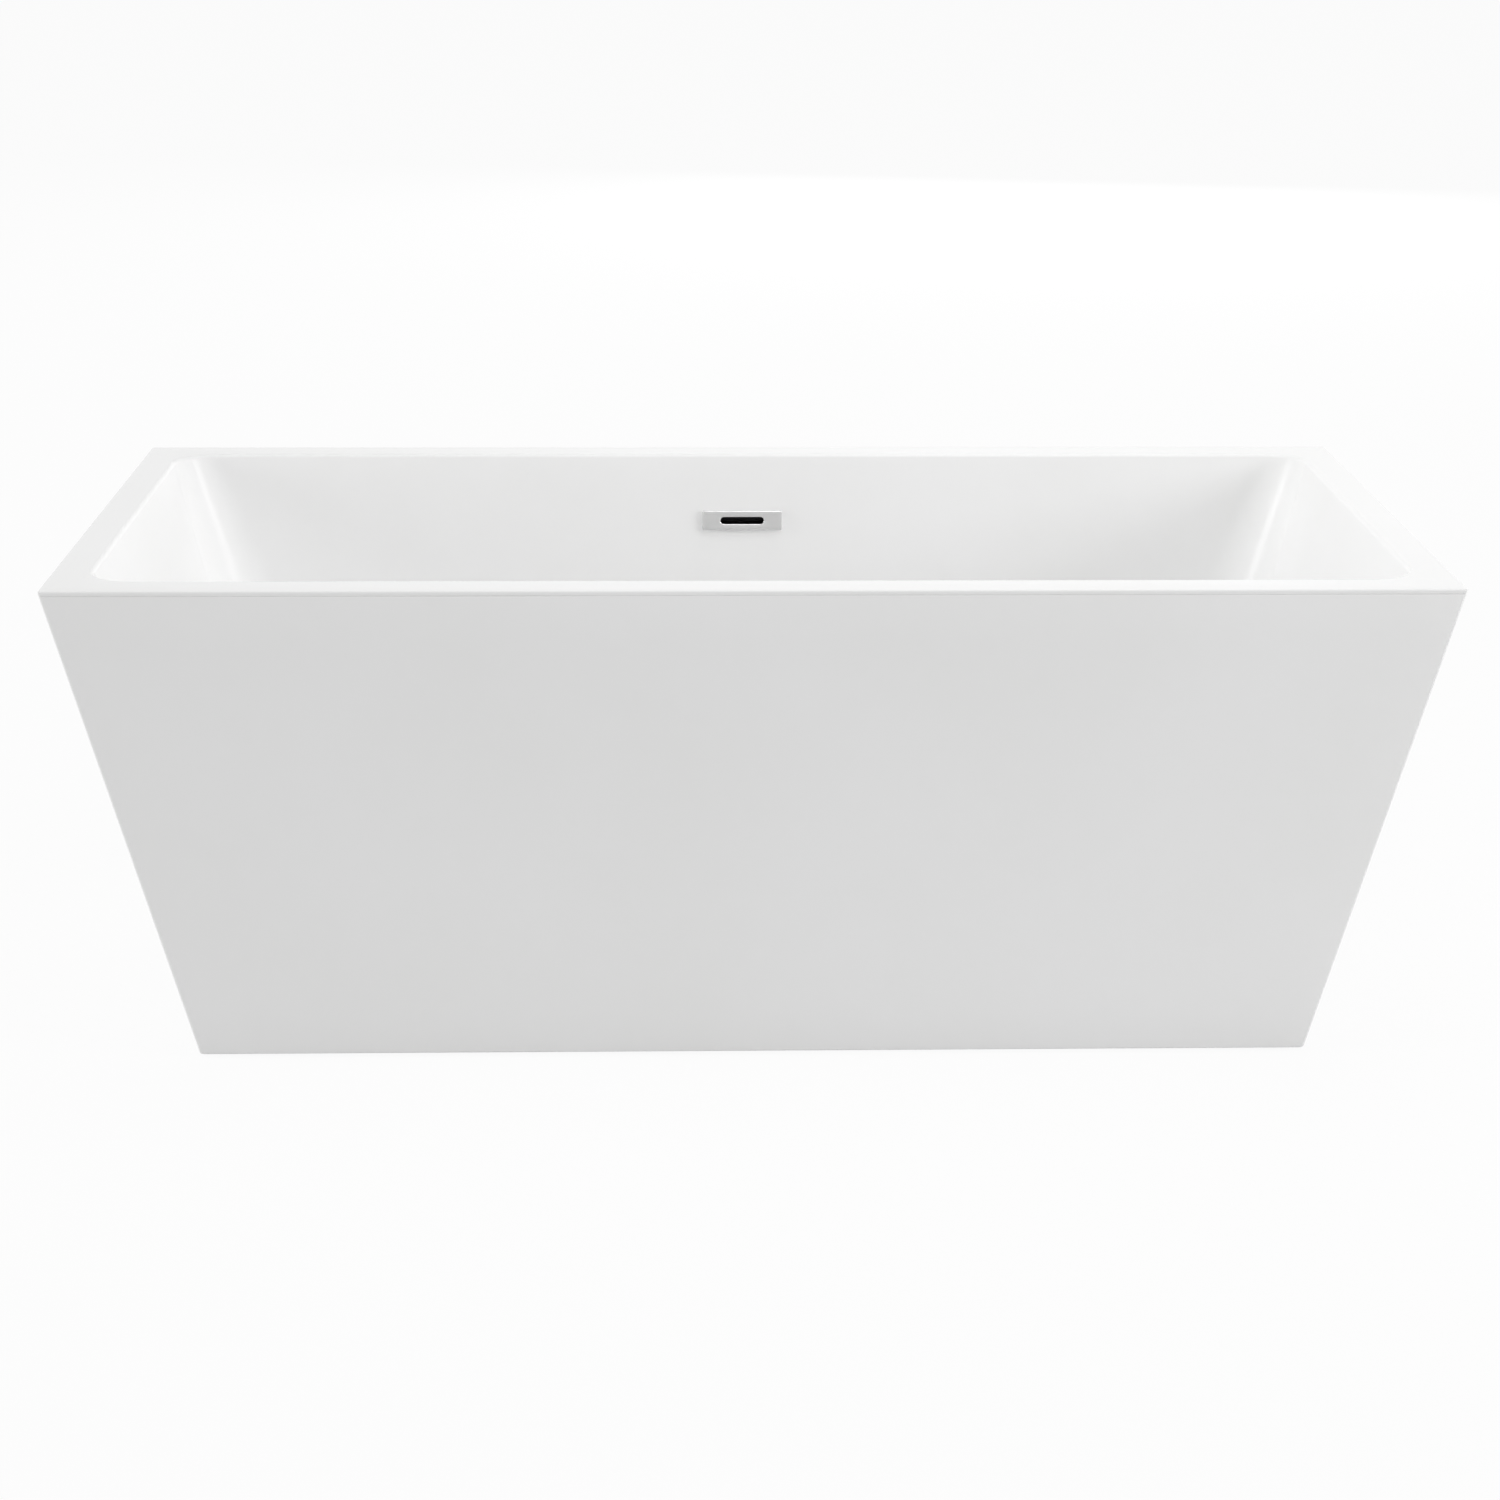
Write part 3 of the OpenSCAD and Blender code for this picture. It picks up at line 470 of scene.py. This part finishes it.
def slot_cutter():
    """The opening behind the cover, as a bar through the back wall."""
    wider, outside, inside = 2 * MM, -20 * MM, 3 * MM
    half_l, half_h = SLOT_L / 2 + wider, SLOT_H / 2 + wider
    rings = [box_ring(half_l, half_h, half_h - 0.1 * MM, z, (2, 10, 6)) for z in (outside, inside)]
    return link("cutter", loft(rings, ends="caps"), BACK_WALL)


def overflow_cover():
    """Chrome plate, a shallow box with soft edges and a slot with round ends."""
    counts = (3, 10, 12)
    half_l, half_h = COVER_L / 2, COVER_H / 2
    corner = 2.2 * MM
    edge = 1.3 * MM
    wall = 1.6 * MM
    slot_edge = 1.5 * MM
    rings = [box_ring(half_l, half_h, corner, 0, counts)]
    for t in even(6, 0, math.pi / 2):
        inset = edge * (1 - math.cos(t))
        rings.append(box_ring(half_l - inset, half_h - inset, corner - inset,
                              COVER_T - edge + edge * math.sin(t), counts))
    for t in even(6, 0, math.pi / 2):
        inset = slot_edge * math.sin(t)
        a = SLOT_L / 2 + slot_edge - inset
        b = SLOT_H / 2 + slot_edge - inset
        rings.append(box_ring(a, b, b - NOT_QUITE, COVER_T - slot_edge * (1 - math.cos(t)),
                              counts))
    rings.append(box_ring(SLOT_L / 2, SLOT_H / 2, SLOT_H / 2 - NOT_QUITE, COVER_T - wall, counts))
    for z in (COVER_T - wall, 0):
        rings.append(box_ring(half_l - wall, half_h - wall, corner / 2, z, counts))
    return link("overflow_cover_plate", loft(rings), BACK_WALL)


# ---- Threads, nuts and screws ----------------------------------------------------------------

def middle(node):
    """Middle of a node's box."""
    low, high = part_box(node)
    return (low + high) / 2


def hex_ring(centre, flats, limit, z, steps=24):
    """Hexagon with a corner on +X and this size across its flats, cut off at a radius of limit."""
    ring = []
    for j in range(steps):
        turn = TAU * j / steps
        reach = min(flats / 2 / math.cos(turn % (math.pi / 3) - math.pi / 6), limit)
        ring.append(Vector((centre.x + reach * math.cos(turn),
                            centre.y + reach * math.sin(turn), z)))
    return ring


def hex_nut(centre, flats, bore, height):
    """Hexagon nut with turned corners and a countersunk bore, standing at centre."""
    steps = 60
    low, high = centre.z, centre.z + height
    sink = 0.6 * MM
    face_r = flats / 2 - 0.2 * MM          # radius of the turned face
    cone = 1.73                            # how fast the 30 degree chamfer widens
    cuts = [0, 0.3 * MM, 0.6 * MM, 1.0 * MM, 1.6 * MM]
    rings = [circle_ring(centre, bore, low + sink, steps=steps),
             circle_ring(centre, bore + sink, low, steps=steps)]
    rings += [hex_ring(centre, flats, face_r + cone * d, low + d, steps) for d in cuts]
    rings += [hex_ring(centre, flats, face_r + cone * d, high - d, steps) for d in reversed(cuts)]
    rings += [circle_ring(centre, bore + sink, high, steps=steps),
              circle_ring(centre, bore, high - sink, steps=steps)]
    return loft(rings, sharp=20)


def foot_rod(name):
    """Rod with its thread as a right-handed helix and a chamfer at each end."""
    low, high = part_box("foot_rod_" + name)
    centre = middle("foot_rod_" + name)
    radius = (high.x - low.x) / 2
    pitch, depth, chamfer = 1.75 * MM, 0.9 * MM, 1.2 * MM
    crest_w, flank = 0.15, 1.3             # flat at the crest, and how steep the flanks are
    steps, per_turn = 24, 6
    count = round((high.z - low.z) / pitch * per_turn)
    rings = []
    for z in even(count, low.z, high.z):
        cone = radius - chamfer + min(z - low.z, high.z - z)
        ring = []
        for j in range(steps):
            off_crest = abs(2 * ((z / pitch - j / steps) % 1) - 1)
            cut = depth * min(1.0, max(0.0, flank * off_crest - crest_w))
            reach = min(radius - cut, cone)
            turn = TAU * j / steps
            ring.append(Vector((centre.x + reach * math.cos(turn),
                                centre.y + reach * math.sin(turn), z)))
        rings.append(ring)
    return loft(rings, ends="caps", sharp=50)


def foot_nuts(name):
    """The jacking nut under the tube and the lock nut over it."""
    low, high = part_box("foot_nuts_" + name)
    centre = middle("foot_nuts_" + name)
    bore, height = 6.05 * MM, 10 * MM
    return join_meshes([hex_nut(Vector((centre.x, centre.y, z)), high.y - low.y, bore, height)
                        for z in (low.z, high.z - height)])


def foot_pad(name):
    """Moulded foot with a fluted edge, a sole ring and a boss round the rod."""
    low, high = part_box("foot_pad_" + name)
    centre = middle("foot_pad_" + name)
    centre.z = 0
    r = (high.x - low.x) / 2 / MM
    edge = range(4, 7)                     # the pairs of the profile that are fluted
    flutes, flute_depth = 24, 0.016
    profile = [(r - 7, 0.8), (r - 6, 0), (r - 2, 0), (r - 0.6, 0.6), (r, 2), (r, 4.8),
               (r - 0.6, 5.8), (r - 2, 6.5), (14.2, 12.4), (12.6, 13.4), (12, 14.6), (12, 17.2),
               (11.2, 18), (6.9, 18), (6.1, 17.2), (6.1, 12)]

    def wave(turn, i):
        return 1 - (flute_depth * (0.5 - 0.5 * math.cos(flutes * turn)) if i in edge else 0)

    return lathe(profile, 96, centre, wave, ends="caps")


def screw(shank):
    """Self-tapping hexagon screw with a washer face, head down, its shank going up from z = 0.
    The shank's length is in millimetres."""
    centre = Vector((0, 0, 0))
    flats = 5.6
    rings = [hex_ring(centre, flats * MM, limit * MM, z * MM)
             for limit, z in ((2.5, -2.5), (3.0, -2.2), (4.0, -1.0))]
    washer = [(4.0, -0.9), (4.5, -0.5), (4.5, -0.1), (4.2, 0), (1.6, 0)]
    root_r, crest_r, pitch, point = 1.5, 2.0, 1.4, 3
    thread = []
    for k in range(int((shank - point) / pitch)):
        thread += [(root_r, pitch * (k + 0.3)), (crest_r, pitch * (k + 0.6)),
                   (root_r, pitch * (k + 0.9))]
    tip = [(1.4, shank - point), (0.1, shank)]
    rings += [circle_ring(centre, r * MM, z * MM, steps=24) for r, z in washer + thread + tip]
    return loft(rings, ends="caps", sharp=40)


def moved(mesh, place):
    """The mesh, moved by this matrix."""
    mesh.transform(place)
    return mesh


def board_screws():
    """Four screws up through each of the front and back rails."""
    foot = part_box("frame_rail_back")[0].z
    y = middle("frame_rail_back").y
    far = middle("frame_cross_right").x
    return join_meshes([moved(screw(34), Matrix.Translation((share * far, side * y, foot)))
                        for share in (-0.8, -0.27, 0.27, 0.8) for side in (-1, 1)])


def bracket_screws():
    """A screw down through each bracket into the skirt's lip."""
    head_r, head_t = 4.5 * MM, 2.5 * MM
    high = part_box("bracket_screws")[1]
    x, y, seat = high.x - head_r, high.y - head_r, high.z - head_t
    turn = Matrix.Rotation(math.pi, 4, "X")
    return join_meshes([moved(screw(9), Matrix.Translation((a * x, b * y, seat)) @ turn)
                        for a in (-1, 1) for b in (-1, 1)])


# ---- Waste and overflow fittings, with their profiles in millimetres -------------------------

def grips(count, depth, first, last):
    """Flutes for a plastic nut that is tightened by hand, on pairs first to last of its profile."""
    def wave(turn, i):
        return 1 - (depth * max(0.0, math.cos(count * turn)) ** 2 if first <= i <= last else 0)
    return wave


def over_waste(z):
    """Point at height z over the middle of the waste."""
    return Vector((WASTE.x, WASTE.y, z))


def slip_nuts():
    """A fluted nut at each of the four pipe sockets, its base out of the socket's mouth."""
    profile = [(13.05, -6), (16.0, -6), (17.4, -5.2), (18, -3.8), (18, 8.6), (17.3, 9.6),
               (16.6, 10), (15.6, 10), (15.6, -3), (13.05, -3)]
    pipe_y = middle("overflow_tube").y
    branch_z = middle("overflow_branch").z
    elbow_low, elbow_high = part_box("overflow_elbow")
    down, up, forward, back = 0, math.pi, -math.pi / 2, math.pi / 2
    mouths = [((0, pipe_y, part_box("overflow_housing")[0].z), down),
              ((0, pipe_y, elbow_high.z), up),
              ((0, elbow_low.y, branch_z), forward),
              ((0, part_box("waste_tee")[1].y, branch_z), back)]
    return join_meshes([moved(lathe(profile, 96, wave=grips(16, 0.05, 2, 5)),
                              Matrix.Translation(at) @ Matrix.Rotation(turn, 4, "X"))
                        for at, turn in mouths])


def union_nut():
    """Large fluted nut that holds the outlet pipe."""
    low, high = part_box("union_nut")
    tall = (high.z - low.z) / MM
    profile = [(20.5, 0), (27.2, 0), (28.5, 0.8), (29, 2.2), (29, tall - 2), (28.3, tall - 0.7),
               (27.4, tall), (24.05, tall), (24.05, 4), (20.5, 4)]
    return lathe(profile, 120, over_waste(low.z), grips(20, 0.04, 2, 5))


def waste_locknut():
    """Brass nut that clamps the waste under the bath's floor."""
    low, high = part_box("waste_locknut")
    return hex_nut(over_waste(low.z), high.y - low.y, 24 * MM, high.z - low.z)


def waste_flange():
    """Dished chrome ring and its threaded body, and the cross that carries the cartridge."""
    foot, top = FLANGE_LOW.z / MM, FLANGE_HIGH.z / MM
    bore_r, root_r, crest_r, ring_r = 20.0, 23.3, 24.0, 35.0
    ring_t, thread_pitch = 3, 2.0
    profile = [(bore_r, foot + 0.6), (20.6, foot), (root_r, foot)]
    z = foot + 0.7
    while z < top - 9:
        profile += [(crest_r, z), (crest_r, z + 0.5), (root_r, z + 1.0), (root_r, z + 1.5)]
        z += thread_pitch
    profile += [(crest_r, z), (crest_r, top - ring_t), (ring_r - 0.4, top - ring_t),
                (ring_r, top - 2.6), (ring_r, top - 1.4), (ring_r - 0.4, top - 0.5),
                (ring_r - 1.2, top - 0.1), (32.6, top), (31.4, top - 0.25), (25.0, top - 1.7),
                (22.9, top - 2.0), (22.3, top - 2.4), (22.3, top - 3), (20.8, top - 3),
                (bore_r, top - 3.8)]
    body = lathe(profile, 96, over_waste(0), sharp=38)

    hub_foot, hub_t = top - 30, 8
    hub = lathe([(6.0, hub_foot), (8.6, hub_foot), (9.0, hub_foot + 0.4),
                 (9.0, hub_foot + hub_t), (6.0, hub_foot + hub_t)], 48, over_waste(0))
    bars = []
    for k in range(4):
        rings = [box_ring(1.5 * MM, hub_t / 2 * MM, 0.5 * MM, reach * MM, (2, 3, 2))
                 for reach in (8.6, 20.3)]
        place = (Matrix.Translation(over_waste((hub_foot + hub_t / 2) * MM))
                 @ Matrix.Rotation(math.pi / 2 * k, 4, "Z") @ Matrix.Rotation(math.pi / 2, 4, "X"))
        bars.append(moved(loft(rings, ends="caps"), place))
    return join_meshes([body, hub] + bars)


def stopper_cap():
    """Domed chrome cap with a turned edge."""
    low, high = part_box("stopper_cap")
    r = (high.x - low.x) / 2 / MM
    profile = [(r - 2.6, 0), (r - 1.0, 0), (r - 0.25, 0.3), (r, 1.0), (r, 2.2), (r - 0.35, 2.9),
               (r - 1.2, 3.4), (r - 3.0, 3.7), (r - 3.2, 3.55), (r - 3.6, 3.55), (r - 3.8, 3.75),
               (r - 8, 4.15), (r - 14, 4.55), (r - 20, 4.8), (r - 26, 4.97), (1.5, 5.0), (0.4, 5.0)]
    return lathe(profile, 96, over_waste(low.z), ends="caps")


def stopper_seal():
    """Rubber disc with two lips."""
    low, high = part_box("stopper_seal")
    r, h = (high.x - low.x) / 2 / MM, (high.z - low.z) / MM
    profile = [(3.5, h), (r - 1, h), (r, h - 0.5), (r, h - 1.0), (r - 1.3, h - 1.4),
               (r - 1.3, h - 2.2), (r, 1.0), (r, 0.4), (r - 0.6, 0), (3.5, 0)]
    return lathe(profile, 72, over_waste(low.z))


# ---- Stage -----------------------------------------------------------------------------------

def seen_directly(tree):
    """1 where the camera, a reflection or glass sees the surface, 0 where it only lights others."""
    path = tree.nodes.new("ShaderNodeLightPath")
    most = path.outputs["Is Camera Ray"]
    for ray in ("Is Glossy Ray", "Is Transmission Ray"):
        larger = tree.nodes.new("ShaderNodeMath")
        larger.operation = "MAXIMUM"
        tree.links.new(most, larger.inputs[0])
        tree.links.new(path.outputs[ray], larger.inputs[1])
        most = larger.outputs["Value"]
    return most


def pale_floor():
    """White floor that fills the view and keeps a soft shadow of the tub."""
    half = 60.0
    whiteness = 0.93           # share of plain white in what the camera sees; the rest is shaded
    mesh = bpy.data.meshes.new("floor")
    corners = [(-half, -half, 0), (half, -half, 0), (half, half, 0), (-half, half, 0)]
    mesh.from_pydata(corners, [], [(0, 1, 2, 3)])
    obj = link("floor", mesh)
    mat = bpy.data.materials.new("floor")
    mat.use_nodes = True
    tree = mat.node_tree
    tree.nodes.clear()
    out = tree.nodes.new("ShaderNodeOutputMaterial")
    mix = tree.nodes.new("ShaderNodeMixShader")
    diffuse = tree.nodes.new("ShaderNodeBsdfDiffuse")
    diffuse.inputs["Color"].default_value = (0.80, 0.80, 0.80, 1)
    glow = tree.nodes.new("ShaderNodeEmission")
    share = tree.nodes.new("ShaderNodeMath")
    share.operation = "MULTIPLY"
    share.inputs[1].default_value = whiteness
    tree.links.new(seen_directly(tree), share.inputs[0])
    tree.links.new(share.outputs["Value"], mix.inputs["Fac"])
    tree.links.new(diffuse.outputs["BSDF"], mix.inputs[1])
    tree.links.new(glow.outputs["Emission"], mix.inputs[2])
    tree.links.new(mix.outputs["Shader"], out.inputs["Surface"])
    mesh.materials.append(mat)


def world(strength):
    """Even sky of this strength for light; plain white where a camera or reflection sees it."""
    scene = bpy.context.scene
    scene.world = bpy.data.worlds.new("studio")
    scene.world.use_nodes = True
    tree = scene.world.node_tree
    tree.nodes.clear()
    out = tree.nodes.new("ShaderNodeOutputWorld")
    mix = tree.nodes.new("ShaderNodeMixShader")
    sky = tree.nodes.new("ShaderNodeBackground")
    sky.inputs["Color"].default_value = (1, 1, 1, 1)
    sky.inputs["Strength"].default_value = strength
    white = tree.nodes.new("ShaderNodeBackground")
    white.inputs["Color"].default_value = (1, 1, 1, 1)
    tree.links.new(seen_directly(tree), mix.inputs["Fac"])
    tree.links.new(sky.outputs["Background"], mix.inputs[1])
    tree.links.new(white.outputs["Background"], mix.inputs[2])
    tree.links.new(mix.outputs["Shader"], out.inputs["Surface"])


def softbox(name, place, target, size, watts, mirrored=True):
    """Area lamp at a place, turned to a target. One that isn't mirrored isn't seen in glossy
    surfaces, so it leaves no streak on the rim."""
    light = bpy.data.lights.new(name, "AREA")
    light.shape = "RECTANGLE"
    light.size, light.size_y = size
    light.energy = watts
    obj = bpy.data.objects.new(name, light)
    bpy.context.scene.collection.objects.link(obj)
    obj.location = place
    obj.rotation_mode = "QUATERNION"
    obj.rotation_quaternion = (Vector(target) - Vector(place)).to_track_quat("-Z", "Y")
    obj.visible_glossy = mirrored


def camera():
    """Stands in front, a little to the left and above, and looks down on the tub."""
    place = (-0.101, -3.695, 1.488)
    pitch, yaw, roll = math.radians(18.25), math.radians(1.62), math.radians(0.31)
    data = bpy.data.cameras.new("camera")
    data.sensor_width = 36
    data.lens = 69.0
    data.clip_start, data.clip_end = 0.1, 200
    obj = bpy.data.objects.new("camera", data)
    bpy.context.scene.collection.objects.link(obj)
    ahead = Vector((math.sin(yaw) * math.cos(pitch), math.cos(yaw) * math.cos(pitch),
                    -math.sin(pitch)))
    right = Vector((math.cos(yaw), -math.sin(yaw), 0))
    up = right.cross(ahead)
    side = right * math.cos(roll) + up * math.sin(roll)
    top = up * math.cos(roll) - right * math.sin(roll)
    turn = Matrix((side, top, -ahead)).transposed().to_4x4()
    obj.matrix_world = Matrix.Translation(place) @ turn
    bpy.context.scene.camera = obj


# ---- Assembly --------------------------------------------------------------------------------

def show(mesh, node):
    """The mesh shows in place of the node, in the node's own finish."""
    stand_for(link("visual_" + node, mesh), [FINISH[SLOTS[node]]], SLOTS[node], node)


shell = basin()
cut_out(shell, slot_cutter())
stand_for(shell, [acrylic, fibreglass], "acrylic", "basin")
stand_for(skirt(), [acrylic, fibreglass], "acrylic", "skirt")
stand_for(overflow_cover(), [chrome], "chrome", "overflow_cover")

for foot in ("front_left", "front_right", "back_left", "back_right", "center"):
    show(foot_rod(foot), "foot_rod_" + foot)
    show(foot_pad(foot), "foot_pad_" + foot)
    show(foot_nuts(foot), "foot_nuts_" + foot)
for make in (board_screws, bracket_screws, slip_nuts, union_nut, waste_locknut, waste_flange,
             stopper_cap, stopper_seal):
    show(make(), make.__name__)

# Carried-over nodes get their finish here, and those with hard edges get soft ones
TUBE_EDGE, SHEET_EDGE, BOARD_EDGE, TIMBER_EDGE = 2.0 * MM, 0.6 * MM, 0.8 * MM, 1.0 * MM
EDGES = {"frame_rail_front": TUBE_EDGE, "frame_rail_back": TUBE_EDGE,
         "frame_rail_center": TUBE_EDGE, "frame_cross_left": TUBE_EDGE,
         "frame_cross_right": TUBE_EDGE, "tube_caps": SHEET_EDGE, "skirt_brackets": SHEET_EDGE,
         "base_board": BOARD_EDGE, "rim_batten_front": TIMBER_EDGE,
         "rim_batten_back": TIMBER_EDGE, "rim_batten_left": TIMBER_EDGE,
         "rim_batten_right": TIMBER_EDGE}
GRAIN_ALONG_Y = ("rim_batten_left", "rim_batten_right")
for name, slot in SLOTS.items():
    if name in ("basin", "skirt", "overflow_cover"):
        continue
    node = NODES[name]
    node.data.materials.clear()
    node.data.materials.append(softwood_y if name in GRAIN_ALONG_Y else FINISH[slot])
    if name in EDGES:
        soften = node.modifiers.new("soft_edges", "BEVEL")
        soften.width = EDGES[name]
        soften.segments = 2
        soften.limit_method = "ANGLE"
        soften.angle_limit = math.radians(50)

pale_floor()
world(0.536)
# Name, place, target and size in metres, and watts
softbox("key", (3.6, -1.4, 2.3), (0.2, 0, 0.4), (1.4, 1.4), 8)
softbox("left", (-9.0, -1.0, 2.4), (0.3, 0, 0.4), (3.0, 3.0), 285)
softbox("right", (8.0, -3.2, 3.2), (0, 0, 0.4), (3.0, 3.0), 210)
softbox("back", (1.5, 8.0, 2.0), (0, 0, 0.4), (3.0, 3.0), 160, mirrored=False)
softbox("top", (0.5, 0.0, 2.6), (0.2, 0, 0.4), (1.6, 1.0), 13)
camera()
